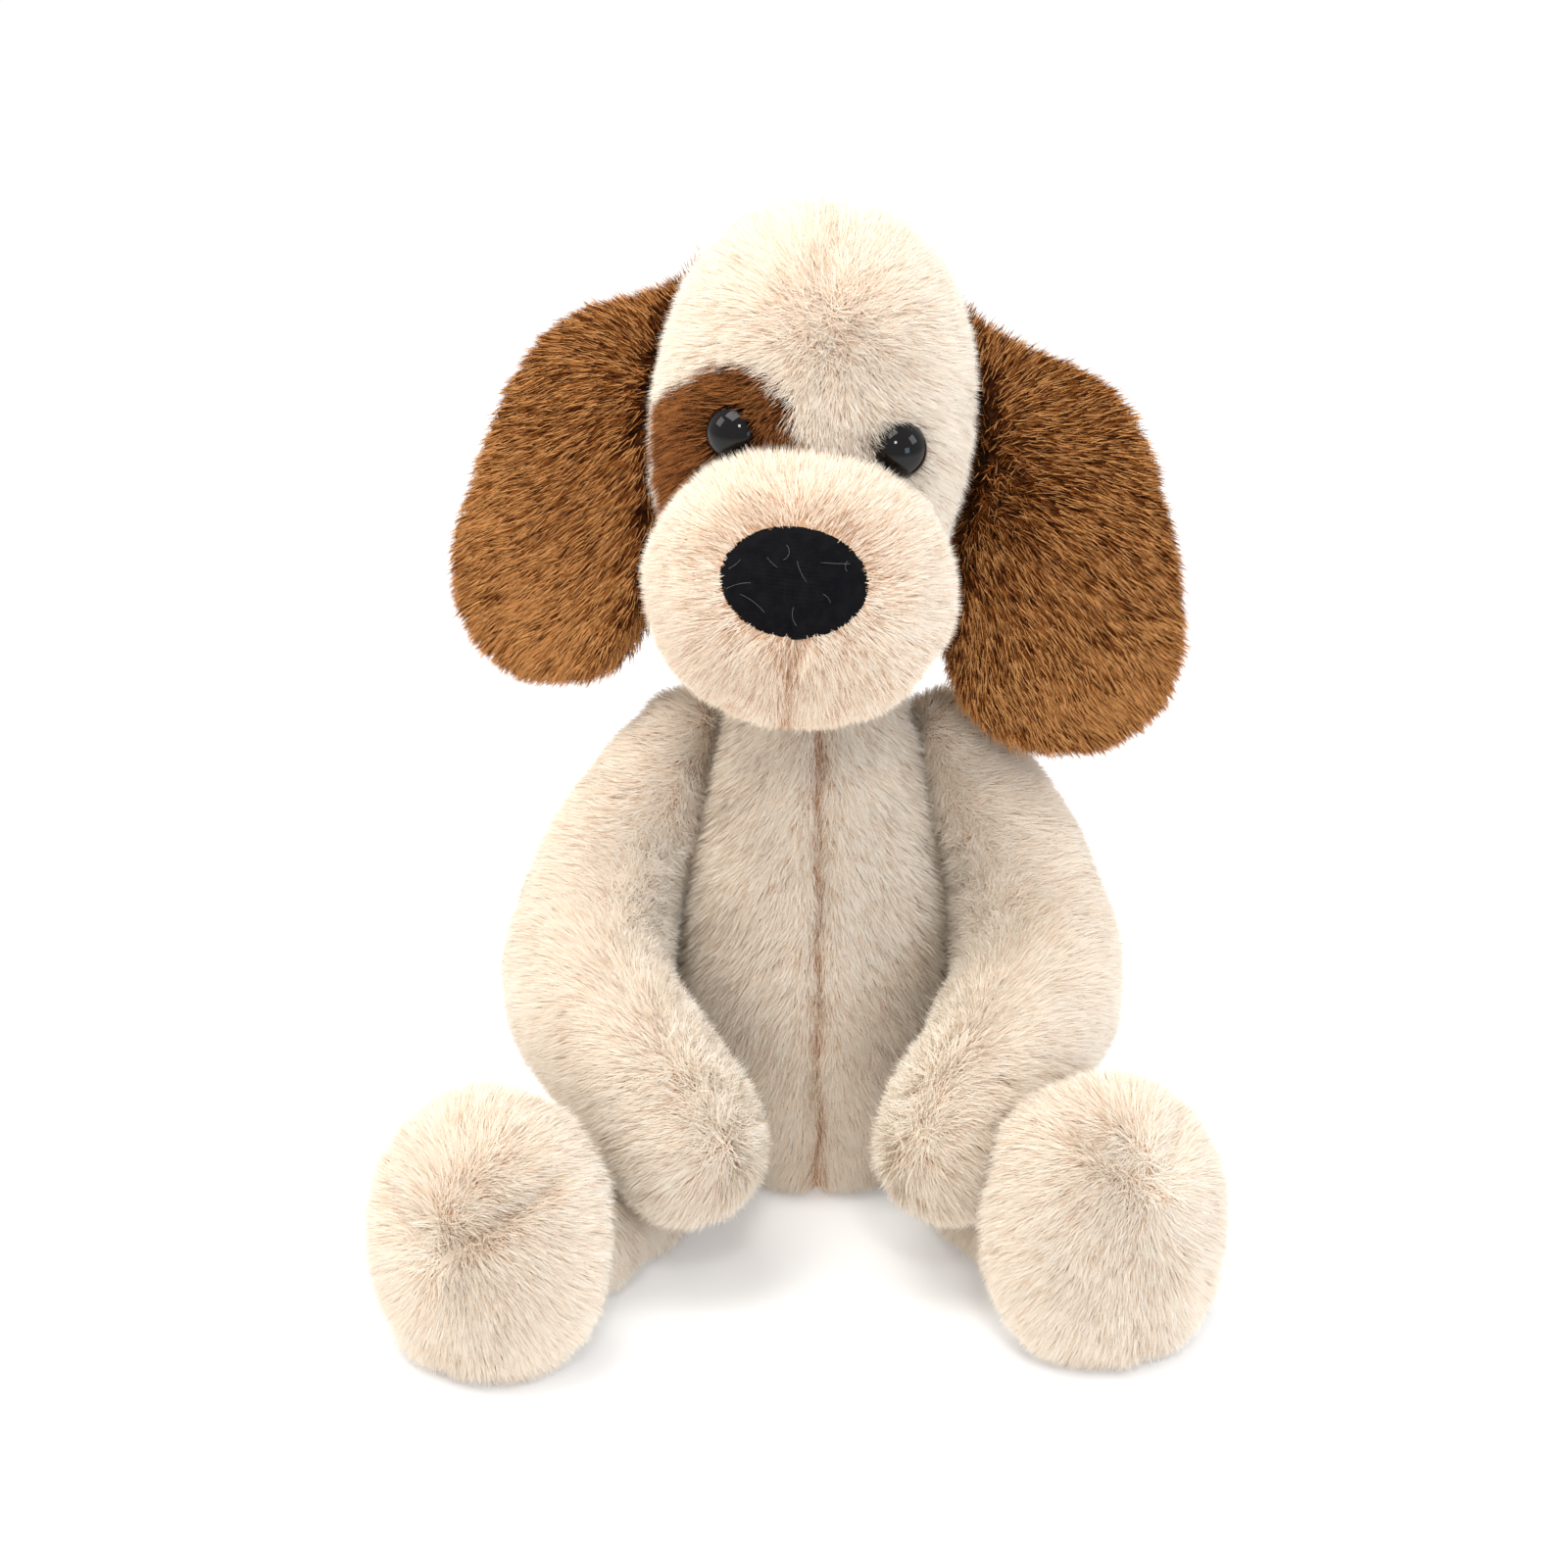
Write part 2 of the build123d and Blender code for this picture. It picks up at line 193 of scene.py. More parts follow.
class Surface:
    """A closed skin of quads in millimetres."""

    def __init__(self, points, quads):
        self.points = points
        self.quads = quads
        self.refresh()

    def refresh(self):
        a, b, c, d = (self.points[self.quads[:, k]] for k in range(4))
        face_normals = np.cross(c - a, d - b)
        total = np.zeros_like(self.points)
        for k in range(4):
            np.add.at(total, self.quads[:, k], face_normals)
        self.normals = unit(total)

    def push(self, amount):
        """Moves every point along its normal."""
        self.points = self.points + self.normals * np.asarray(amount)[:, None]
        self.refresh()

    def relax(self, steps):
        """Evens out the surface without shrinking it much."""
        count = len(self.points)
        edges = np.concatenate([self.quads[:, [k, (k + 1) % 4]] for k in range(4)])
        degree = np.bincount(edges.ravel(), minlength=count)[:, None]
        for step in range(2 * steps):
            total = np.zeros_like(self.points)
            np.add.at(total, edges[:, 0], self.points[edges[:, 1]])
            np.add.at(total, edges[:, 1], self.points[edges[:, 0]])
            pull = 0.5 if step % 2 == 0 else -0.5
            self.points = self.points + (total / degree - self.points) * pull
        self.refresh()

    def swell(self, seed, wavelength, height):
        """How far the stuffing raises the cloth here and there."""
        return Waves(seed, wavelength)(self.points) * height

    def stay_above_floor(self):
        self.points[:, 2] = np.maximum(self.points[:, 2], SKIN_CLEARANCE)
        self.refresh()

    def centres(self):
        return self.points[self.quads].mean(axis=1)


def cad_points(names):
    """Corners and triangles of the named nodes, in millimetres."""
    points, triangles, count = [], [], 0
    for name in names:
        mesh = frame["nodes"][name].data
        corners = np.empty(len(mesh.vertices) * 3)
        mesh.vertices.foreach_get("co", corners)
        mesh.calc_loop_triangles()
        faces = np.empty(len(mesh.loop_triangles) * 3, dtype=np.int32)
        mesh.loop_triangles.foreach_get("vertices", faces)
        points.append(corners.reshape(-1, 3) / MM)
        triangles.append(faces.reshape(-1, 3) + count)
        count += len(mesh.vertices)
    return np.concatenate(points), np.concatenate(triangles)


def remeshed(mesh, voxel, smooth_steps):
    """An even quad skin round a closed mesh given in metres."""
    holder = bpy.data.objects.new("holder", mesh)
    bpy.context.scene.collection.objects.link(holder)
    remesh = holder.modifiers.new("remesh", "REMESH")
    remesh.mode = "VOXEL"
    remesh.voxel_size = voxel * MM
    smooth = holder.modifiers.new("smooth", "SMOOTH")
    smooth.factor = 0.5
    smooth.iterations = smooth_steps
    graph = bpy.context.evaluated_depsgraph_get()
    result = bpy.data.meshes.new_from_object(holder.evaluated_get(graph))
    points = np.empty(len(result.vertices) * 3)
    result.vertices.foreach_get("co", points)
    quads = np.array([tuple(face.vertices) for face in result.polygons if len(face.vertices) == 4])
    bpy.data.objects.remove(holder)
    bpy.data.meshes.remove(mesh)
    bpy.data.meshes.remove(result)
    return Surface(points.reshape(-1, 3) / MM, quads)


def wrapped(points, voxel, smooth_steps=2):
    """The foot of the pile round the outside of a cloud of points."""
    built = bmesh.new()
    for point in points:
        built.verts.new(point * MM)
    found = bmesh.ops.convex_hull(built, input=built.verts)
    loose = {part for part in found["geom_interior"] + found["geom_unused"] if part.is_valid}
    spare = [part for part in loose if isinstance(part, bmesh.types.BMVert)]
    bmesh.ops.delete(built, geom=spare, context="VERTS")
    mesh = bpy.data.meshes.new("hull")
    built.to_mesh(mesh)
    built.free()
    surface = remeshed(mesh, voxel, smooth_steps)
    surface.push(np.full(len(surface.points), DENSE_PILE))
    return surface


def hull_surface(names, voxel):
    """The foot of the pile on a convex part, from the outside of its panels."""
    return wrapped(cad_points(names)[0], voxel)


def stuffed_surface(names, grow, voxel, smooth_steps=3):
    """The foot of the pile over one or more closed solids, grown out by the cloth over them."""
    points, triangles = cad_points(names)
    mesh = bpy.data.meshes.new("stuffed")
    mesh.from_pydata((points * MM).tolist(), [], triangles.tolist())
    surface = remeshed(mesh, voxel, smooth_steps)
    surface.push(np.full(len(surface.points), grow))
    return surface


# ---------------------------------------------------------------- materials

def principled(name, colour, roughness, sheen=0.0, sheen_tint=(1.0, 1.0, 1.0), specular=0.5):
    material = bpy.data.materials.new(name)
    material.use_nodes = True
    shader = material.node_tree.nodes["Principled BSDF"]
    shader.inputs["Base Color"].default_value = (*colour, 1.0)
    shader.inputs["Roughness"].default_value = roughness
    shader.inputs["Specular IOR Level"].default_value = specular
    shader.inputs["Sheen Weight"].default_value = sheen
    shader.inputs["Sheen Roughness"].default_value = 0.5
    shader.inputs["Sheen Tint"].default_value = (*sheen_tint, 1.0)
    material.diffuse_color = (*colour, 1.0)
    return material


def node(material, kind, **values):
    made = material.node_tree.nodes.new(kind)
    for key, value in values.items():
        if key in made.inputs:
            made.inputs[key].default_value = value
        else:
            setattr(made, key, value)
    return made


def mottled(name, dark, light, roughness, scale, bump_strength=0.3, bump_scale=None, sheen=0.3, specular=0.2):
    """Cloth whose colour wanders between two shades, with a fine raised grain."""
    material = principled(name, light, roughness, sheen=sheen, specular=specular)
    links = material.node_tree.links
    shader = material.node_tree.nodes["Principled BSDF"]
    place = node(material, "ShaderNodeTexCoord")
    noise = node(material, "ShaderNodeTexNoise", Scale=scale, Detail=4.0)
    links.new(place.outputs["Object"], noise.inputs["Vector"])
    shades = node(material, "ShaderNodeValToRGB")
    shades.color_ramp.elements[0].position = 0.35
    shades.color_ramp.elements[0].color = (*dark, 1.0)
    shades.color_ramp.elements[1].position = 0.65
    shades.color_ramp.elements[1].color = (*light, 1.0)
    links.new(noise.outputs["Fac"], shades.inputs["Fac"])
    links.new(shades.outputs["Color"], shader.inputs["Base Color"])
    grain = node(material, "ShaderNodeTexNoise", Scale=bump_scale or scale * 6.0, Detail=3.0)
    links.new(place.outputs["Object"], grain.inputs["Vector"])
    raised = node(material, "ShaderNodeBump", Strength=bump_strength, Distance=0.0004)
    links.new(grain.outputs["Fac"], raised.inputs["Height"])
    links.new(raised.outputs["Normal"], shader.inputs["Normal"])
    return material


def pile_materials(name, shades, sheen):
    """One plain shade for each layer of the pile, from the short deep strands to the long pale ones."""
    return [principled(f"{name}_{index}", shade, 0.9, sheen=sheen, sheen_tint=shades[-1], specular=0.1)
            for index, shade in enumerate(shades)]


# From the seam shade, seen only where the pile parts, up through the layers of the pile
CREAM_SHADES = [(0.50, 0.27, 0.15), (0.83, 0.62, 0.45), (0.90, 0.75, 0.59), (0.93, 0.82, 0.68),
                (0.955, 0.87, 0.75)]
BROWN_SHADES = [(0.020, 0.005, 0.001), (0.035, 0.008, 0.0015), (0.12, 0.032, 0.005), (0.29, 0.093, 0.018),
                (0.60, 0.280, 0.095)]
PATCH_SHADES = [(0.012, 0.003, 0.001), (0.020, 0.006, 0.001), (0.050, 0.014, 0.003), (0.12, 0.036, 0.009),
                (0.42, 0.155, 0.044)]
SHADES = len(CREAM_SHADES)
BACKINGS = {
    "cream": mottled("cream_backing", (0.50, 0.29, 0.17), (0.62, 0.40, 0.26), 0.95, 120.0, sheen=0.0),
    "brown": mottled("brown_backing", (0.07, 0.020, 0.004), (0.11, 0.032, 0.007), 0.95, 120.0, sheen=0.0),
    "patch": mottled("patch_backing", (0.03, 0.010, 0.003), (0.05, 0.016, 0.005), 0.95, 120.0, sheen=0.0),
}
PILES = {
    "cream": pile_materials("cream_pile", CREAM_SHADES, 0.1),
    "brown": pile_materials("brown_pile", BROWN_SHADES, 0.1),
    "patch": pile_materials("patch_pile", PATCH_SHADES, 0.05),
}


# ---------------------------------------------------------------- pile

class Pile:
    """How the pile grows on a surface.

    tufts is their number in a square millimetre, length and width are in millimetres, lean is in
    degrees from the normal, ruffle is how far the pile wanders from the flow, mottle is how far
    the tufts differ in shade, and sparse above 1 thins out the long pale strands. The functions
    take points and normals: flow gives the way the tips point, keep says where tufts grow,
    length_at and lean_at give factors, depth_at how many steps darker the shade is, for seams and
    for painted shade, and below 0 paler for painted light, and toss_at radians of disorder.
    """

    def __init__(self, seed, flow, tufts=1.2, length=6.9, lean=46.0, width=0.28,
                 length_at=None, lean_at=None, keep=None, ruffle=1.35, depth_at=None, toss_at=None,
                 mottle=0.45, bent=False, sparse=1.0):
        self.rng = np.random.default_rng(seed)
        self.flow = flow
        self.tufts = tufts * FUR_SCALE
        self.length = length
        self.lean = math.radians(lean)
        self.width = width / math.sqrt(FUR_SCALE)
        self.length_at = length_at
        self.lean_at = lean_at
        self.keep = keep
        self.depth_at = depth_at
        self.ruffle = ruffle
        self.toss_at = toss_at
        self.mottle = mottle
        self.bent = bent
        self.sparse = sparse
        self.turning = Waves(seed + 1, 20.0)
        self.parting = Waves(seed + 2, 8.0, count=16)
        self.rising = Waves(seed + 3, 9.0, count=16)
        self.fading = Waves(seed + 4, 7.0, count=16)


def scatter(surface, rng, density):
    """Random places on the surface with their normals."""
    quads = surface.quads
    triangles = np.concatenate([quads[:, [0, 1, 2]], quads[:, [0, 2, 3]]])
    a, b, c = (surface.points[triangles[:, k]] for k in range(3))
    area = np.linalg.norm(np.cross(b - a, c - a), axis=1) / 2.0
    count = int(area.sum() * density)
    chosen = rng.choice(len(triangles), size=count, p=area / area.sum())
    u, v = rng.random((2, count))
    flip = u + v > 1.0
    u[flip], v[flip] = 1.0 - u[flip], 1.0 - v[flip]
    corners = triangles[chosen]
    share = np.stack([1.0 - u - v, u, v], axis=1)[:, :, None]
    return (surface.points[corners] * share).sum(axis=1), unit((surface.normals[corners] * share).sum(axis=1))


def grow(surface, pile):
    """Strands as flat spikes of 3 corners, or 5 when bent, with soft normals, places and shades."""
    rng = pile.rng
    root, normal = scatter(surface, rng, pile.tufts)
    if pile.keep is not None:
        wanted = pile.keep(root, normal)
        root, normal = root[wanted], normal[wanted]
    count = len(root)

    along = pile.flow(root, normal)
    along = unit(along - normal * dot(along, normal))
    wander = pile.turning(root) * 0.30 + pile.parting(root) * 0.22
    turn = pile.ruffle * wander + rng.normal(size=count) * TURN_JITTER
    if pile.toss_at is not None:
        turn = turn + rng.normal(size=count) * pile.toss_at(root, normal)
    across = np.cross(normal, along)
    along = along * np.cos(turn)[:, None] + across * np.sin(turn)[:, None]
    across = np.cross(normal, along)

    lean = pile.lean * (np.ones(count) if pile.lean_at is None else pile.lean_at(root, normal))
    lean = lean + pile.ruffle * 0.14 * pile.rising(root) + rng.normal(size=count) * LEAN_JITTER
    length = pile.length * (1.0 + LENGTH_JITTER * rng.normal(size=count))
    if pile.length_at is not None:
        length = length * pile.length_at(root, normal)

    shape = (count, STRANDS_PER_TUFT)
    offset = rng.normal(size=(*shape, 2)) * TUFT_SPREAD
    strand_root = root[:, None] + along[:, None] * offset[..., :1] + across[:, None] * offset[..., 1:]
    strand_root = strand_root - normal[:, None] * ROOT_DEPTH
    layer = rng.random(shape) ** pile.sparse
    own_length = length[:, None] * (SHORTEST_STRAND + LONGEST_GAIN * layer)
    spread = rng.normal(size=(*shape, 2)) * STRAND_JITTER

    def heading(tilt):
        tilt = tilt + spread[..., 0]
        return unit(normal[:, None] * np.cos(tilt)[..., None] + along[:, None] * np.sin(tilt)[..., None]
                    + across[:, None] * spread[..., 1:])

    reach = own_length[..., None]
    if pile.bent:
        middle = strand_root + heading(lean[:, None] - BEND) * reach * BEND_AT
        tip = middle + heading(lean[:, None] + BEND) * reach * (1.0 - BEND_AT)
    else:
        tip = strand_root + heading(lean[:, None]) * reach
    tip = tip + (tip.mean(axis=1, keepdims=True) - tip) * TUFT_PULL * layer[..., None]

    twisted = normal[:, None] + rng.normal(size=(*shape, 3)) * TWIST_JITTER
    side = unit(np.cross(tip - strand_root, twisted))
    half = side * (pile.width * (0.4 + 0.2 * rng.random(shape)))[..., None]
    corners = [strand_root - half, strand_root + half, tip]
    if pile.bent:
        corners[2:2] = [middle - half * 0.8, middle + half * 0.8]
    strands = np.stack(corners, axis=2)
    strands[..., 2] = np.maximum(strands[..., 2], TIP_CLEARANCE)
    facing = unit(np.cross(side, tip - strand_root))
    facing = facing * np.where(dot(facing, normal[:, None]) < 0.0, -1.0, 1.0)
    soft = unit(facing * 0.45 + normal[:, None] * 0.75)

    shade = FIRST_SHADE + layer * (SHADES - 1.3) + rng.normal(size=shape) * SHADE_JITTER
    shade = shade + rng.normal(size=(count, 1)) * pile.mottle
    shade = shade + SHADE_WANDER * pile.ruffle * pile.fading(root)[:, None]
    # A depth darkens the strands' shade along seams and as painted shade; below 0 it paints light
    if pile.depth_at is not None:
        shade = shade - pile.depth_at(root, normal)[:, None] * DEPTH_IN_SHADES
    shade = np.clip(np.round(shade), 0, SHADES - 1).astype(int).reshape(-1)
    roots, root_normals = (np.repeat(rows, STRANDS_PER_TUFT, axis=0) for rows in (root, normal))
    return strands.reshape(-1, len(corners), 3), soft.reshape(-1, 3), roots, root_normals, shade


def furry_piece(name, body, nodes, points, normals, quads, strands, soft, shades, kind):
    """One object: the backing cloth's quads with their strands."""
    used = np.unique(quads)
    renumber = np.zeros(len(points), dtype=np.int64)
    renumber[used] = np.arange(len(used))
    base_quads = renumber[quads]
    count, per_strand = strands.shape[:2]
    mesh = bpy.data.meshes.new(name)
    corners = np.concatenate([points[used], strands.reshape(-1, 3)]) * MM
    mesh.vertices.add(len(corners))
    mesh.vertices.foreach_set("co", corners.astype(np.float32).ravel())
    first = len(used) + np.arange(count)[:, None] * per_strand
    if per_strand == 5:
        # A four-cornered foot in a deeper shade, then a three-cornered tip
        strand_loops = first + [0, 1, 3, 2, 2, 3, 4]
        strand_starts = np.arange(count)[:, None] * 7 + [0, 4]
        strand_index = np.stack([1 + np.maximum(shades - 2, 0), 1 + shades], axis=1)
    else:
        strand_loops = first + [0, 1, 2]
        strand_starts = np.arange(count) * 3
        strand_index = 1 + shades
    loops = np.concatenate([base_quads.ravel(), strand_loops.ravel()])
    mesh.loops.add(len(loops))
    mesh.loops.foreach_set("vertex_index", loops.astype(np.int32))
    base_loops = len(base_quads) * 4
    starts = np.concatenate([np.arange(len(base_quads)) * 4, base_loops + strand_starts.ravel()])
    mesh.polygons.add(len(starts))
    mesh.polygons.foreach_set("loop_start", starts.astype(np.int32))
    index = np.concatenate([np.zeros(len(base_quads), int), strand_index.ravel()])
    mesh.polygons.foreach_set("material_index", index.astype(np.int32))
    mesh.polygons.foreach_set("use_smooth", np.ones(len(index), dtype=bool))
    for material in [BACKINGS[kind], *PILES[kind]]:
        mesh.materials.append(material)
    mesh.update(calc_edges=True)
    shading = np.concatenate([normals[used], np.repeat(soft, per_strand, axis=0)])
    mesh.normals_split_custom_set_from_vertices(shading)
    piece = bpy.data.objects.new(name, mesh)
    bpy.context.scene.collection.objects.link(piece)
    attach(piece, body)
    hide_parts(*nodes)
    return piece


def furry_panels(surface, pile, body, panels, label):
    """Splits a furred skin into its sewn panels. label(points, normals) gives each panel's number."""
    strands, soft, roots, root_normals, shades = grow(surface, pile)
    face_normals = surface.normals[surface.quads].mean(axis=1)
    face_label = label(surface.centres(), face_normals)
    strand_label = label(roots, root_normals)
    for number, (name, slot, nodes, kind) in enumerate(panels):
        mine = strand_label == number
        furry_piece(name, body, nodes, surface.points, surface.normals,
                    surface.quads[face_label == number], strands[mine], soft[mine], shades[mine], kind)


def one_panel(points, normals):
    """The label of a skin that isn't split."""
    return np.zeros(len(points), int)


def off_floor(points, normals):
    return points[:, 2] > ROOT_CLEARANCE


def seed_for(side, seed):
    return seed if side == "left" else seed + 1


# ---------------------------------------------------------------- trunk

def make_trunk():
    names = ["belly_panel_left", "belly_panel_right", "back_panel_left", "back_panel_right"]
    surface = hull_surface(names, 2.0)
    x, y, z = surface.points.T
    # The cloth dips along its seams, most at the belly's, and the stuffing swells between them
    front = ramp(-y, -6.0, 14.0)
    back = ramp(y, -6.0, 14.0)
    seam = bump(x, 1.9) * ramp(z, 2.0, 14.0)
    side_seam = bump(y - TRUNK_SEAM_Y, 2.2) * ramp(z, 4.0, 14.0)
    lumps = surface.swell(3, 46.0, 0.8) * ramp(z, 4.0, 20.0)
    surface.push(-3.2 * seam * front - 1.8 * seam * back - 1.4 * side_seam + lumps)
    surface.relax(1)
    surface.stay_above_floor()

    def flow(points, normals):
        away = np.sign(points[:, 0]) * (0.12 + 0.55 * bump(points[:, 0], 6.0))
        down = -np.ones(len(points))
        return np.stack([away, -0.15 * ramp(-points[:, 1], 0.0, 20.0), down], axis=1)

    def keep(points, normals):
        sides = (normals[:, 2] > -0.75) & (normals[:, 2] < 0.9)
        return sides & (points[:, 2] > 1.5) & (np.abs(points[:, 0]) > 0.7)

    def depth(points, normals):
        return 1.4 * bump(points[:, 0], 1.3)

    def lengths(points, normals):
        return 1.0 - 0.2 * bump(points[:, 0], 2.5)

    pile = Pile(TRUNK_SEED, flow, keep=keep, depth_at=depth, length_at=lengths)

    def label(points, normals):
        return (points[:, 0] < 0.0).astype(int) + 2 * (points[:, 1] > TRUNK_SEAM_Y).astype(int)

    panels = [
        ("belly_plush_left", "cream_plush", ["belly_panel_left"], "cream"),
        ("belly_plush_right", "cream_plush", ["belly_panel_right"], "cream"),
        ("back_plush_left", "cream_plush", ["back_panel_left", "seat_panel"], "cream"),
        ("back_plush_right", "cream_plush", ["back_panel_right"], "cream"),
    ]
    furry_panels(surface, pile, "torso", panels, label)


# The neck's cloth: height, radius and how far back each ring's centre is
NECK_RINGS = [(143.0, 14.0, 3.5), (149.0, 17.5, 4.0), (158.0, 19.0, 5.0), (167.0, 20.5, 6.0),
              (173.0, 20.0, 7.0), (177.0, 14.0, 7.0)]
NECK_X = -1.0
NECK_AROUND = 48


def make_neck():
    """The short sleeve of plush that closes the gap between the trunk and the head."""
    points = []
    for height, radius, back in NECK_RINGS:
        for angle in np.arange(NECK_AROUND) * 2.0 * math.pi / NECK_AROUND:
            points.append((NECK_X + radius * math.cos(angle), back + radius * math.sin(angle), height))
    surface = wrapped(np.array(points), 1.6)

    def flow(points, normals):
        return np.tile([0.0, 0.0, -1.0], (len(points), 1))

    def keep(points, normals):
        return (points[:, 2] > 144.0) & (points[:, 2] < 176.0)

    panels = [("neck_plush", "cream_plush", ["neck_stuffing"], "cream")]
    furry_panels(surface, Pile(NECK_SEED, flow, keep=keep), "neck", panels, one_panel)


# ---------------------------------------------------------------- head and muzzle

# Places in the head's frame: the whorl of the forehead's pile, and the eye patch seen from the front
WHORL = np.array([4.0, -30.0, 27.0])
PATCH_OUTLINE = [(-46, -4), (-33, 6), (-23.5, 12), (-14.5, 12.5), (-8, 7), (-2, -6), (-11, -16), (-32, -34),
                 (-46, -32)]


def eye_front(side):
    """The eye's base centre and the way it looks, in the head's frame."""
    turn = EYE_TURN * SIDES[side]
    outward = np.array([math.sin(turn), -math.cos(turn), 0.0])
    base = EYE_MIDDLE + [SIDES[side] * EYE_SPREAD, 0.0, 0.0]
    return base, outward


def eye_distances(local):
    """How far each place in the head's frame is from the two eyes' base centres."""
    return [np.linalg.norm(local - eye_front(side)[0], axis=1) for side in SIDES]


def depth_inside(flat, outline):
    """How far each flat point is inside a closed outline, below 0 outside, in mm."""
    corners = np.array(outline, float)
    ends = np.roll(corners, -1, axis=0)
    nearest = np.full(len(flat), 1e9)
    inside = np.zeros(len(flat), bool)
    for (ax, ay), (bx, by) in zip(corners, ends):
        run = np.array([bx - ax, by - ay])
        gap = flat - [ax, ay]
        share = np.clip(gap @ run / (run @ run), 0.0, 1.0)
        nearest = np.minimum(nearest, np.linalg.norm(gap - share[:, None] * run, axis=1))
        crosses = (flat[:, 1] > ay) != (flat[:, 1] > by)
        reach = ax + (flat[:, 1] - ay) * run[0] / (run[1] if run[1] else 1e-9)
        inside ^= crosses & (flat[:, 0] < reach)
    return np.where(inside, nearest, -nearest)


def make_head():
    names = ["face_panel_left", "face_panel_right", "head_back_left", "head_back_right", "eye_patch"]
    surface = hull_surface(names, 1.8)
    local = to_head(surface.points)
    x, y, z = local.T
    # The middle seam shows over the top and the back, and the cloth sinks a little at the eyes
    seam = bump(x, 2.4)
    top_back = ramp(z, 30.0, 46.0) + ramp(y, 0.0, 20.0)
    side_seam = bump(y - HEAD_SEAM_Y, 2.4) * ramp(np.abs(x), 8.0, 20.0)
    sockets = sum(bump(distance, 11.0) for distance in eye_distances(local))
    lumps = surface.swell(5, 40.0, 0.7)
    surface.push(-2.2 * seam * np.minimum(top_back, 1.0) - 1.2 * side_seam - 0.3 * sockets + lumps)
    surface.relax(1)

    def flow(points, normals):
        local = to_head(points)
        out = local - WHORL
        out = out / np.maximum(np.linalg.norm(out, axis=1, keepdims=True), 6.0)
        out[:, 2] -= 1.3 * ramp(local[:, 1], 5.0, 30.0)
        for side in SIDES:
            base, _ = eye_front(side)
            gap = local - base
            reach = np.linalg.norm(gap, axis=1, keepdims=True)
            out = out + 1.1 * bump(reach, 11.0) * gap / np.maximum(reach, 1.0)
        return out @ HEAD_AXES

    def lean_at(points, normals):
        local = to_head(points)
        eye_rims = np.max([bump(distance - 8.0, 4.0) for distance in eye_distances(local)], axis=0)
        flat = 0.88 + 0.12 * ramp(np.linalg.norm(local - WHORL, axis=1), 2.0, 26.0)
        return flat * (1.0 - 0.55 * eye_rims)

    def toss_at(points, normals):
        return 1.6 * bump(np.linalg.norm(to_head(points) - WHORL, axis=1), 14.0)

    def keep(points, normals):
        local = to_head(points)
        hidden = (((local - MUZZLE_CENTRE) / (MUZZLE_RADII - 1.0)) ** 2).sum(axis=1) < 1.0
        return (np.min(eye_distances(local), axis=0) > BARE_ROUND_EYE) & ~hidden

    def lengths(points, normals):
        return 1.0 - 0.15 * bump(np.min(eye_distances(to_head(points)), axis=0), 12.0)

    def depth(points, normals):
        local = to_head(points)
        # Painted shade: darker round the forehead's whorl, where the pile parts and shows its roots; the line
        # over the top is the middle seam
        whorl = 0.24 * bump(np.linalg.norm((local - WHORL) / [1.4, 1.0, 1.0], axis=1), 15.0)
        return whorl + 0.7 * bump(local[:, 0], 1.5) * ramp(local[:, 2], 34.0, 46.0)

    pile = Pile(HEAD_SEED, flow, keep=keep, depth_at=depth, length_at=lengths, lean_at=lean_at,
                toss_at=toss_at)
    edge = Waves(8, 9.0)

    def label(points, normals):
        local = to_head(points)
        number = (local[:, 0] < 0.0).astype(int) + 2 * (local[:, 1] > HEAD_SEAM_Y).astype(int)
        inside = depth_inside(local[:, [0, 2]], PATCH_OUTLINE) + edge(points) * 0.5
        return np.where((inside > 0.0) & (local[:, 1] < -6.0), 4, number)

    panels = [
        ("face_plush_left", "cream_plush", ["face_panel_left"], "cream"),
        ("face_plush_right", "cream_plush", ["face_panel_right"], "cream"),
        ("head_back_plush_left", "cream_plush", ["head_back_left"], "cream"),
        ("head_back_plush_right", "cream_plush", ["head_back_right"], "cream"),
        ("eye_patch_plush", "dark_brown_plush", ["eye_patch"], "patch"),
    ]
    furry_panels(surface, pile, "head", panels, label)


# In the head's frame: the muzzle's pile points away from NOSE_FRONT, just in front of the nose,
# and the chin's seam shows below CHIN_TOP
NOSE_FRONT = np.array([0.0, -64.0, -41.0])
CHIN_TOP = -52.0


def nose_ring(local):
    """1 on the nose's rim, less inside it and more outside, seen from the front."""
    return np.sqrt(((local[:, 0] - NOSE_CENTRE[0]) / NOSE_RADII[0]) ** 2
                   + ((local[:, 2] - NOSE_CENTRE[1]) / NOSE_RADII[1]) ** 2)


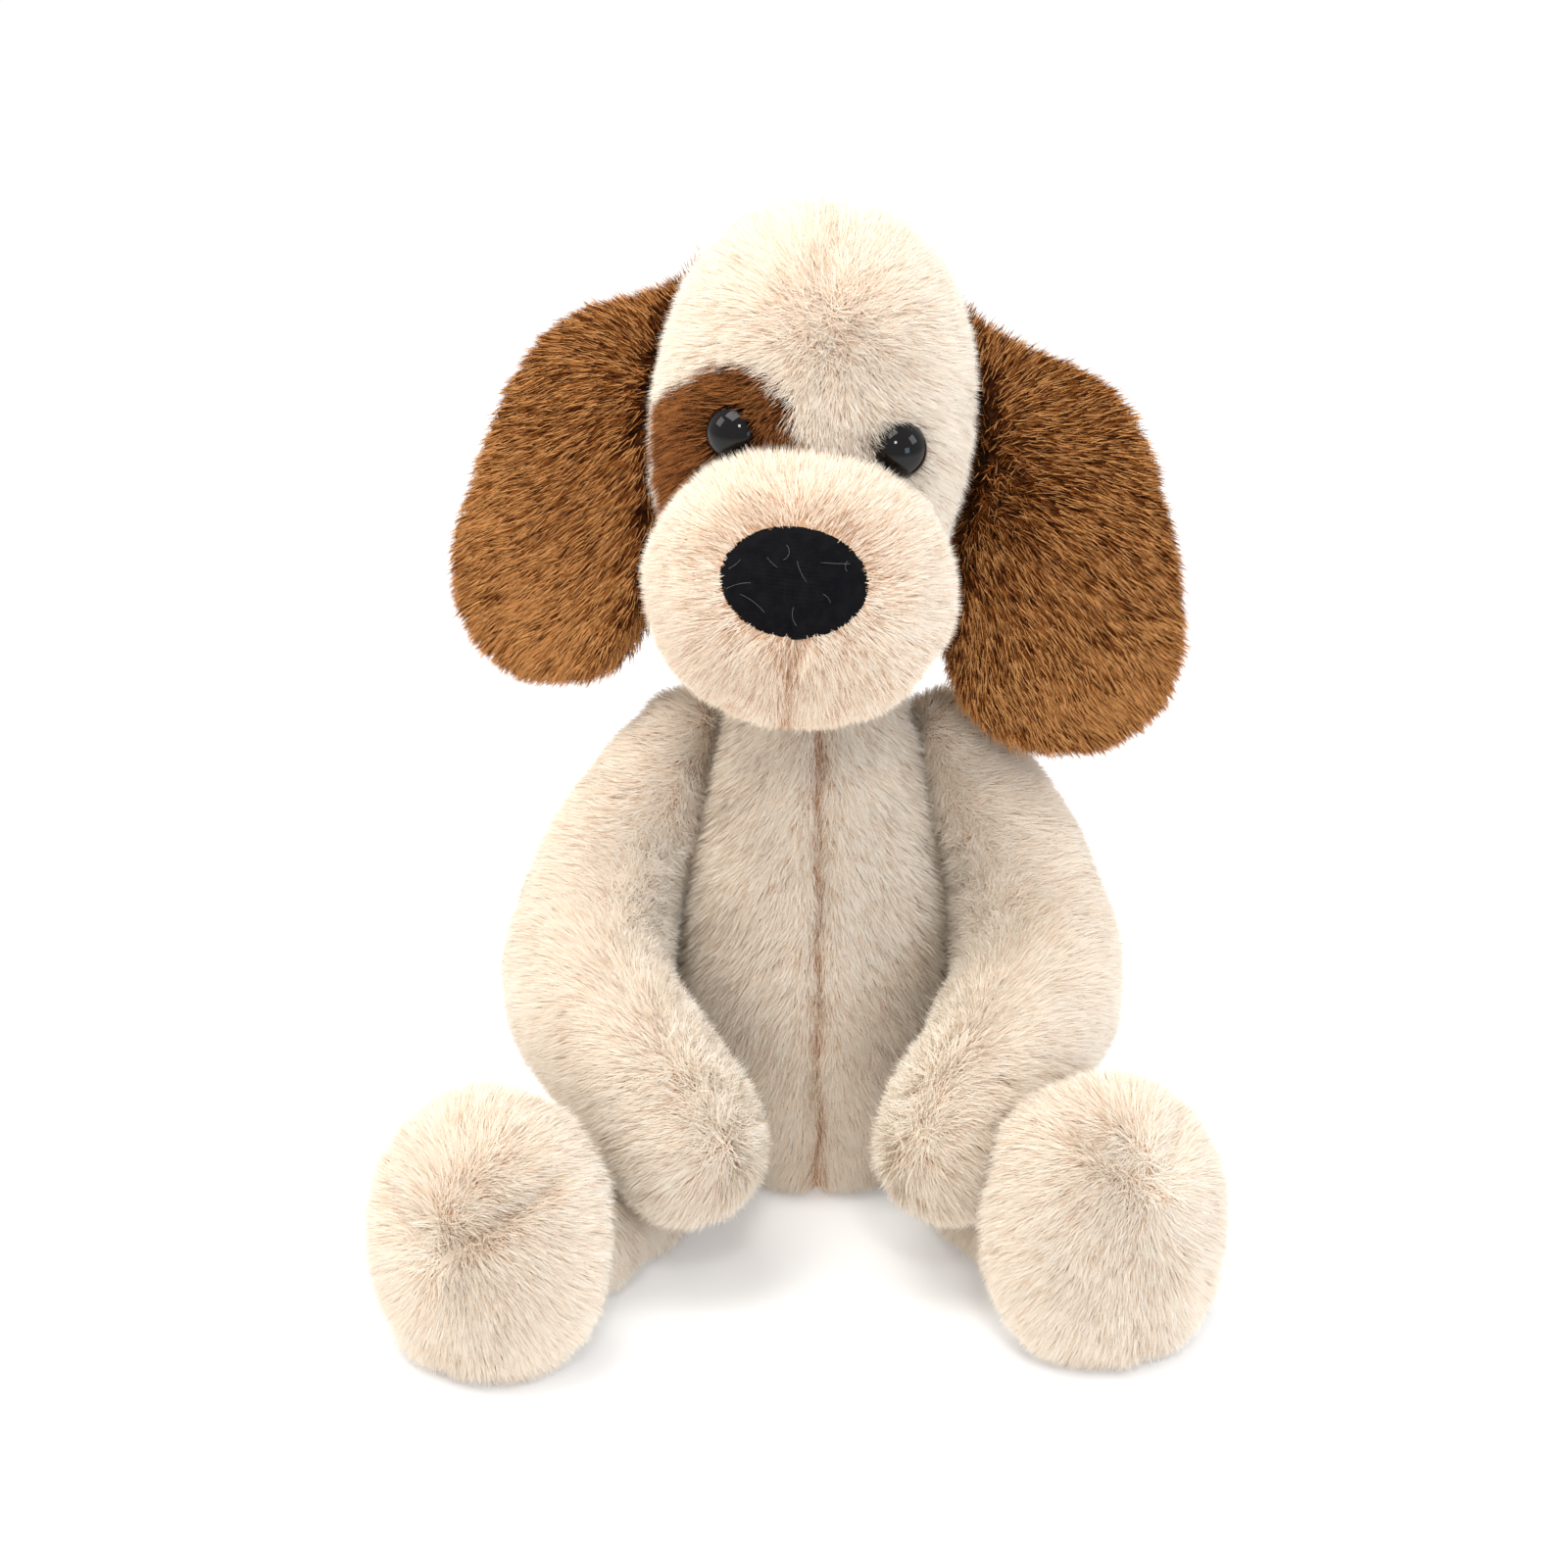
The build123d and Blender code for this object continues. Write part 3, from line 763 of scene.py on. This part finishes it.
def make_muzzle():
    surface = hull_surface(["muzzle_left", "muzzle_right"], 1.8)
    local = to_head(surface.points)
    x, y, z = local.T
    # The cloth sinks under the nose's rim, is flat at the cheeks and full at the brow
    front = ramp(-y, 30.0, 48.0)
    ring = nose_ring(local)
    recess = (1.0 - ramp(ring, 0.95, 1.55)) * front
    groove = bump((ring - 1.85) * NOSE_MEAN_RADIUS, 4.0) * front
    cheeks = ramp(np.abs(x - MUZZLE_SEAM_X), 22.0, 36.0)
    brow = ramp(z - MUZZLE_CENTRE[2], 8.0, 26.0) * front
    chin_seam = bump(x - MUZZLE_SEAM_X, 2.2) * ramp(NOSE_CENTRE[1] - z, 8.0, 20.0) * front
    lumps = surface.swell(6, 30.0, 0.6)
    surface.push(1.2 * brow - 3.3 * recess - 0.5 * groove - 1.8 * cheeks - 2.8 * chin_seam + lumps)
    surface.relax(1)

    def flow(points, normals):
        local = to_head(points)
        out = local - NOSE_FRONT
        aside = local[:, 0] - MUZZLE_SEAM_X
        out[:, 0] += 5.0 * np.sign(aside) * bump(aside, 8.0) * (local[:, 2] < -50.0)
        return out @ HEAD_AXES

    def keep(points, normals):
        local = to_head(points)
        skull = ((local / (SKULL_RADII - 1.0)) ** 2).sum(axis=1)
        return ((nose_ring(local) > 1.0) | (local[:, 1] > -35.0)) & (skull > 1.0)

    def lengths(points, normals):
        local = to_head(points)
        return 0.60 + 0.40 * ramp(nose_ring(local), 0.9, 1.7)

    def lean_at(points, normals):
        return 1.15 - 0.15 * ramp(nose_ring(to_head(points)), 1.05, 2.0)

    def depth(points, normals):
        local = to_head(points)
        rise = local[:, 2] - NOSE_CENTRE[1]
        # Painted shade: darker in the recess above the nose and over the lower half, and the whole muzzle a
        # step darker as it stands out into the light; the line down the chin is its seam
        groove = 0.30 * bump((nose_ring(local) - 1.10) * NOSE_MEAN_RADIUS, 5.0) * ramp(rise, -6.0, 8.0)
        low = 0.20 * ramp(-rise, 4.0, 24.0)
        chin_seam = 0.8 * bump(local[:, 0] - MUZZLE_SEAM_X, 1.3) * (local[:, 2] < CHIN_TOP)
        return 0.22 + groove + low + chin_seam

    pile = Pile(MUZZLE_SEED, flow, keep=keep, length_at=lengths, lean_at=lean_at, depth_at=depth)

    def label(points, normals):
        return (to_head(points)[:, 0] < MUZZLE_SEAM_X).astype(int)

    panels = [
        ("muzzle_plush_left", "cream_plush", ["muzzle_left"], "cream"),
        ("muzzle_plush_right", "cream_plush", ["muzzle_right"], "cream"),
    ]
    furry_panels(surface, pile, "head", panels, label)


# ---------------------------------------------------------------- ears

# The places in the head's frame that the ears' pile grows away from
EAR_WHORL = {"left": np.array([47.0, 2.0, -12.0]), "right": np.array([-42.0, 8.0, 2.0])}


def make_ear(side):
    sign = SIDES[side]
    names = [f"ear_front_{side}", f"ear_wadding_{side}", f"ear_back_{side}"]
    surface = stuffed_surface(names, 0.0, 1.6, smooth_steps=6)
    root, axis = joint_line(f"ear_{side}_flap")
    normal = unit(axis * sign)
    height = (surface.points - root) @ normal
    thickness = np.clip(np.abs(height) / 4.0, 0.0, 1.0)
    surface.push(surface.swell(9, 34.0, 0.7) * thickness)
    surface.relax(2)
    whorl = from_head(EAR_WHORL[side])

    def flow(points, normals):
        out = points - whorl
        out = out / np.maximum(np.linalg.norm(out, axis=1, keepdims=True), 8.0)
        return out + HEAD_AXES[0] * sign * 0.45 - HEAD_AXES[2] * 0.40

    def lean_at(points, normals):
        return 0.55 + 0.45 * ramp(np.linalg.norm(points - whorl, axis=1), 2.0, 22.0)

    def depth(points, normals):
        # Painted shade by the whorl near the head, and painted light towards the far end and along the rim,
        # where the tips catch the lamps
        reach = np.linalg.norm(points - whorl, axis=1)
        rim = 1.0 - np.abs(normals @ normal)
        return 0.25 * bump(reach, 16.0) - 0.28 * ramp(reach, 35.0, 75.0) - 0.60 * rim

    def toss_at(points, normals):
        return 1.0 * bump(np.linalg.norm(points - whorl, axis=1), 12.0)

    pile = Pile(seed_for(side, EAR_SEED), flow, length=8.2, lean=50.0, lean_at=lean_at, depth_at=depth,
                toss_at=toss_at, mottle=0.5, ruffle=1.1, tufts=0.95, bent=True, sparse=1.8)

    def label(points, normals):
        return (((points - root) @ normal) > 0.0).astype(int)

    panels = [
        (f"ear_front_plush_{side}", "brown_plush", [f"ear_front_{side}", f"ear_wadding_{side}"], "brown"),
        (f"ear_back_plush_{side}", "brown_plush", [f"ear_back_{side}"], "brown"),
    ]
    furry_panels(surface, pile, f"ear_{side}", panels, label)


# ---------------------------------------------------------------- limbs and tail

def make_arm(side):
    surface = stuffed_surface([f"arm_stuffing_{side}"], CLOTH + DENSE_PILE, 2.0)
    surface.push(surface.swell(12, 38.0, 0.9))
    surface.relax(1)
    sign = SIDES[side]

    def flow(points, normals):
        forearm = ramp(-points[:, 1], 0.0, 30.0)
        hand = ramp(-points[:, 1], 72.0, 94.0)
        back = 0.10 + 0.25 * forearm - 0.30 * hand
        return np.stack([np.full(len(points), sign), back, -0.45 - 0.15 * hand], axis=1)

    def crown(points, normals):
        """1 where the flow runs straight into or out of the skin, so the tufts part."""
        return bump(1.0 - np.abs(dot(unit(flow(points, normals)), normals)[:, 0]), 0.30)

    # Painted light: the strands at the crown, where the tufts part, are paler to offset the shade seen there
    def depth(points, normals):
        return -0.30 * crown(points, normals)

    def toss_at(points, normals):
        return 1.7 * crown(points, normals)

    pile = Pile(seed_for(side, ARM_SEED), flow, lean=50.0, depth_at=depth, toss_at=toss_at)
    panels = [(f"arm_plush_{side}", "cream_plush", [f"arm_skin_{side}"], "cream")]
    furry_panels(surface, pile, f"arm_{side}", panels, one_panel)


# The dimple in each sole, sideways and up from the foot's middle
SOLE_DIMPLE = {"left": (6.0, 20.0), "right": (-3.0, 5.0)}


def make_leg(side):
    hip, _ = joint_line(f"leg_{side}_splay")
    low, high = (np.array(corner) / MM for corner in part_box("foot_skin_" + side))
    foot = (low + high) / 2.0
    ahead = unit(np.array([foot[0] - hip[0], foot[1] - hip[1], 6.0]))
    level = np.array([0.0, 0.0, 1.0])
    across = np.cross(level, ahead)
    leg = stuffed_surface([f"leg_stuffing_{side}"], CLOTH + DENSE_PILE, 2.0)
    leg.push(leg.swell(14, 38.0, 0.6))
    leg.stay_above_floor()

    def leg_flow(points, normals):
        return ahead * 0.25 + [0.0, 0.0, -1.0] + across * 0.3 * np.sign((points - hip) @ across)[:, None]

    pile = Pile(seed_for(side, LEG_SEED), leg_flow, keep=off_floor)
    panels = [(f"leg_plush_{side}", "cream_plush", [f"leg_skin_{side}"], "cream")]
    furry_panels(leg, pile, f"leg_{side}", panels, one_panel)

    sole = hull_surface([f"foot_skin_{side}"], 1.8)

    def on_sole(points):
        """Sideways and upward places on the sole, and 1 on its front, 0 behind."""
        gap = points - foot
        return gap @ across, gap @ level, ramp(gap @ ahead, -2.0, 8.0)

    dimple_u, dimple_v = SOLE_DIMPLE[side]
    dimple = foot + ahead * 16.0 + across * dimple_u + level * dimple_v

    def crease_distance(points):
        u, v, _ = on_sole(points)
        return v - dimple_v - 18.0 * (np.abs(u - dimple_u) / 24.0) ** 1.3

    u, v, front = on_sole(sole.points)
    crease = bump(crease_distance(sole.points), 3.2) * front
    low_seam = bump(u - dimple_u * 0.5 + 1.0, 2.2) * ramp(-v, 12.0, 24.0) * front
    sole.push(-2.6 * crease - 1.6 * low_seam + sole.swell(16, 30.0, 0.8))
    sole.relax(1)
    sole.stay_above_floor()

    def foot_flow(points, normals):
        gap = points - dimple
        sideways = (gap @ across)[:, None] * across
        return unit(gap + 0.9 * sideways) + [0.0, 0.0, -0.25]

    def foot_lean(points, normals):
        return 1.18 - 0.14 * ramp(np.linalg.norm(points - dimple, axis=1), 2.0, 16.0)

    def foot_toss(points, normals):
        return 1.5 * bump(np.linalg.norm(points - dimple, axis=1), 8.0)

    def foot_depth(points, normals):
        # Painted shade in the crease across the sole and painted light at the dimple, where the tufts part;
        # the line below the dimple is the sole's low seam
        u, v, front = on_sole(points)
        low_seam = bump(u - dimple_u * 0.5 + 1.0, 1.8) * ramp(-v, 12.0, 24.0)
        crown = 0.30 * bump(np.linalg.norm(points - dimple, axis=1), 9.0)
        return (0.16 * bump(crease_distance(points), 2.4) + 0.35 * low_seam) * front - crown

    pile = Pile(seed_for(side, FOOT_SEED), foot_flow, keep=off_floor, lean_at=foot_lean, toss_at=foot_toss,
                depth_at=foot_depth)
    panels = [(f"foot_plush_{side}", "cream_plush", [f"foot_skin_{side}"], "cream")]
    furry_panels(sole, pile, f"leg_{side}", panels, one_panel)


def make_tail():
    surface = stuffed_surface(["tail_stuffing"], CLOTH + DENSE_PILE, 1.6)
    base, _ = joint_line("tail_wag")

    def flow(points, normals):
        return unit(points - base)

    panels = [("tail_plush", "cream_plush", ["tail_skin"], "cream")]
    furry_panels(surface, Pile(TAIL_SEED, flow), "tail", panels, one_panel)


# ---------------------------------------------------------------- nose and eyes

# The nose's cloth: how far its hem goes beyond the rim, as a factor, how far it lies off the
# muzzle, how far its edge turns back, and the size of its knit stitches and stray fibres
NOSE_HEM = 1.07
NOSE_LIFT = 0.1
NOSE_ROUNDING = 1.9
STITCH_WIDTH = 1.3
ROW_HEIGHT = 1.0
STITCH_DEPTH = 0.13
FIBRES = 10
FIBRE_STEPS = 12
FIBRE_HALF_WIDTH = 0.022
GOLDEN_ANGLE = 2.4


def solid_piece(name, points, faces, body, material, nodes):
    mesh = bpy.data.meshes.new(name)
    mesh.from_pydata((np.asarray(points) * MM).tolist(), [], faces)
    mesh.polygons.foreach_set("use_smooth", np.ones(len(mesh.polygons), dtype=bool))
    mesh.materials.append(material)
    mesh.update()
    piece = bpy.data.objects.new(name, mesh)
    bpy.context.scene.collection.objects.link(piece)
    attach(piece, body)
    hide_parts(*nodes)
    return piece


def dome_faces(rings, around):
    """Faces of a disc of rings round a middle point that is point 0."""
    faces = [(0, 1 + k, 1 + (k + 1) % around) for k in range(around)]
    for ring in range(rings - 1):
        a, b = 1 + ring * around, 1 + (ring + 1) * around
        faces += [(a + k, b + k, b + (k + 1) % around, a + (k + 1) % around) for k in range(around)]
    return faces


def nose_front(x, z):
    """The y of the nose's cloth in the head's frame, at a place measured from the nose's centre."""
    grown = MUZZLE_RADII + NOSE_LIFT
    centre_x, centre_z = NOSE_CENTRE[0] - MUZZLE_CENTRE[0], NOSE_CENTRE[1] - MUZZLE_CENTRE[2]
    inside = 1.0 - ((x + centre_x) / grown[0]) ** 2 - ((z + centre_z) / grown[2]) ** 2
    return MUZZLE_CENTRE[1] - grown[1] * np.sqrt(np.maximum(inside, 0.0))


def make_nose():
    rings, around = 60, 180
    radius = np.linspace(0.0, 1.0, rings + 1)[1:]
    angle = np.arange(around) * 2.0 * math.pi / around
    share = np.concatenate([[0.0], np.repeat(radius, around)])
    turn = np.concatenate([[0.0], np.tile(angle, rings)])
    x = share * np.cos(turn) * NOSE_RADII[0] * NOSE_HEM
    z = share * np.sin(turn) * NOSE_RADII[1] * NOSE_HEM
    rounding = NOSE_ROUNDING * np.clip((share - 0.78) / 0.22, 0.0, 1.0) ** 2.0
    tuck = 1.2 * bump(x, 0.9) * ramp(-z, 6.0, 12.0)
    wale = np.abs(np.sin(x * math.pi / STITCH_WIDTH))
    course = np.sin(z * 2.0 * math.pi / ROW_HEIGHT + wale * 2.0)
    y = nose_front(x, z) + rounding + tuck - STITCH_DEPTH * (wale + 0.7 * course)
    points = [np.stack([x + NOSE_CENTRE[0], y, z + NOSE_CENTRE[1]], axis=1)]
    faces = dome_faces(rings, around)
    count = len(x)
    cloth_faces = len(faces)

    rng = np.random.default_rng(FIBRE_SEED)
    for number in range(FIBRES):
        place = math.sqrt((number + 0.5) / FIBRES)
        turn = number * GOLDEN_ANGLE
        start = np.array([math.cos(turn), math.sin(turn)]) * place * 0.85 * NOSE_RADII
        heading = rng.uniform(0.0, 2.0 * math.pi)
        bend = rng.normal() * 0.08
        stride = rng.uniform(0.25, 0.75)
        turns = heading + bend * np.arange(FIBRE_STEPS)
        path = start + np.cumsum(np.stack([np.cos(turns), np.sin(turns)], axis=1) * stride, axis=0)
        reach = np.sqrt(((path / NOSE_RADII) ** 2).sum(axis=1))
        path = path / np.maximum(reach / 0.97, 1.0)[:, None]
        lift = 0.45 + 0.5 * np.sin(np.linspace(0.0, math.pi, FIBRE_STEPS))
        aside = np.stack([-np.sin(turns), np.cos(turns)], axis=1) * FIBRE_HALF_WIDTH
        for edge in (path - aside, path + aside):
            front = nose_front(edge[:, 0], edge[:, 1]) - lift
            x, z = edge.T
            points.append(np.stack([x + NOSE_CENTRE[0], front, z + NOSE_CENTRE[1]], axis=1))
        for near in range(count, count + FIBRE_STEPS - 1):
            far = near + FIBRE_STEPS
            faces.append((near, near + 1, far + 1, far))
        count += 2 * FIBRE_STEPS

    knit = mottled("black_knit", (0.003, 0.003, 0.004), (0.006, 0.006, 0.007), 0.85, 300.0,
                   bump_strength=0.5, bump_scale=2400.0, sheen=0.0, specular=0.07)
    fibre = principled("stray_fibre", (0.22, 0.20, 0.18), 0.7)
    places = from_head(np.concatenate(points))
    nose = solid_piece("nose_cloth", places, faces, "head", knit, ["nose"])
    nose.data.materials.append(fibre)
    index = np.zeros(len(faces), dtype=np.int32)
    index[cloth_faces:] = 1
    nose.data.polygons.foreach_set("material_index", index)


def make_eye(side):
    base, outward = eye_front(side)
    upward = np.array([0.0, 0.0, 1.0])
    across = np.cross(upward, outward)
    rings, around = 28, 72
    angles = np.arange(around) * 2.0 * math.pi / around
    profile = []
    for step in range(1, rings + 1):
        turn = step / rings * math.pi / 2.0
        profile.append((EYE_RADIUS * math.sin(turn), EYE_HEIGHT * math.cos(turn)))
    # The flat rim under the dome
    profile += [(EYE_RADIUS + 0.35, -0.15), (EYE_RADIUS + 0.35, -1.2), (EYE_RADIUS - 1.0, -1.6)]
    points = [base + outward * EYE_HEIGHT]
    for reach, lift in profile:
        for angle in angles:
            round_place = across * (reach * math.cos(angle)) + upward * (reach * math.sin(angle))
            points.append(base + outward * lift + round_place)
    gloss = principled("eye_gloss", (0.003, 0.002, 0.002), 0.03, specular=0.28)
    solid_piece(f"eye_dome_{side}", from_head(np.array(points)), dome_faces(len(profile), around), "head",
                gloss, [f"eye_{side}"])


# ---------------------------------------------------------------- hidden pieces

def finish_hidden_pieces():
    """Stuffing, washers and pellet bags keep their modelled shapes and get their own materials."""
    looks = {
        "stuffing": mottled("fibre_fill", (0.70, 0.70, 0.68), (0.88, 0.88, 0.86), 0.95, 200.0,
                            bump_strength=0.8),
        "pellet": mottled("pellet_bag_cloth", (0.55, 0.52, 0.47), (0.70, 0.68, 0.63), 0.9, 400.0,
                          bump_strength=0.9),
        "washer": mottled("washer_plastic", (0.72, 0.72, 0.70), (0.80, 0.80, 0.78), 0.45, 300.0,
                          bump_strength=0.1),
    }
    for name, piece in frame["nodes"].items():
        for word, material in looks.items():
            if word in name:
                for slot in piece.material_slots:
                    slot.material = material


# ---------------------------------------------------------------- floor, light and camera, in metres

WORLD_STRENGTH = 0.80
FLOOR_SIZE = 6.0
FLOOR_GLOW = 0.22
LAMP_AIM = Vector((0.0, -0.03, 0.12))
# Name, place, size, power and colour of each soft lamp
LAMPS = [
    ("front", (0.05, -0.95, 0.95), 0.18, 3.0, (1.0, 0.98, 0.95)),
    ("top", (-0.30, -0.20, 1.25), 0.7, 8.5, (1.0, 0.985, 0.96)),
    ("left", (-1.10, -0.15, 0.90), 0.5, 3.2, (1.0, 0.98, 0.95)),
    ("right", (1.10, -0.25, 0.85), 0.5, 3.2, (0.90, 0.95, 1.0)),
    ("window", (0.75, -0.80, 0.35), 0.28, 1.5, (0.45, 0.68, 1.0)),
]
CAMERA_TARGET = Vector((-0.0095, -0.012, 0.114))
CAMERA_DISTANCE = 0.850
CAMERA_ELEVATION = math.radians(22.0)
SENSOR_MM = 36.0
VIEW_WIDTH = 0.432


def make_stage():
    bpy.ops.mesh.primitive_plane_add(size=FLOOR_SIZE, location=(0.0, 0.0, 0.0))
    floor = bpy.context.object
    floor.name = "floor"
    pale = principled("floor_acrylic", (0.95, 0.95, 0.95), 0.9, specular=0.1)
    glow = pale.node_tree.nodes["Principled BSDF"]
    glow.inputs["Emission Color"].default_value = (1.0, 1.0, 1.0, 1.0)
    glow.inputs["Emission Strength"].default_value = FLOOR_GLOW
    floor.data.materials.append(pale)
    world = bpy.context.scene.world or bpy.data.worlds.new("world")
    bpy.context.scene.world = world
    world.use_nodes = True
    back = world.node_tree.nodes["Background"]
    back.inputs["Color"].default_value = (1.0, 1.0, 1.0, 1.0)
    back.inputs["Strength"].default_value = WORLD_STRENGTH
    bpy.context.scene.view_settings.view_transform = "Standard"
    for name, place, size, power, colour in LAMPS:
        lamp = bpy.data.lights.new(name, "AREA")
        lamp.size = size
        lamp.energy = power
        lamp.color = colour
        holder = bpy.data.objects.new(name, lamp)
        holder.location = place
        holder.rotation_euler = (LAMP_AIM - Vector(place)).to_track_quat("-Z", "Y").to_euler()
        bpy.context.scene.collection.objects.link(holder)


def make_camera():
    ahead = Vector((0.0, math.cos(CAMERA_ELEVATION), -math.sin(CAMERA_ELEVATION)))
    camera = bpy.data.cameras.new("camera")
    camera.sensor_width = SENSOR_MM
    camera.lens = SENSOR_MM * CAMERA_DISTANCE / VIEW_WIDTH
    holder = bpy.data.objects.new("camera", camera)
    holder.location = CAMERA_TARGET - ahead * CAMERA_DISTANCE
    holder.rotation_euler = ahead.to_track_quat("-Z", "Y").to_euler()
    bpy.context.scene.collection.objects.link(holder)
    bpy.context.scene.camera = holder


make_stage()
make_camera()
make_trunk()
make_neck()
make_head()
make_muzzle()
for each_side in SIDES:
    make_ear(each_side)
    make_arm(each_side)
    make_leg(each_side)
    make_eye(each_side)
make_tail()
make_nose()
finish_hidden_pieces()
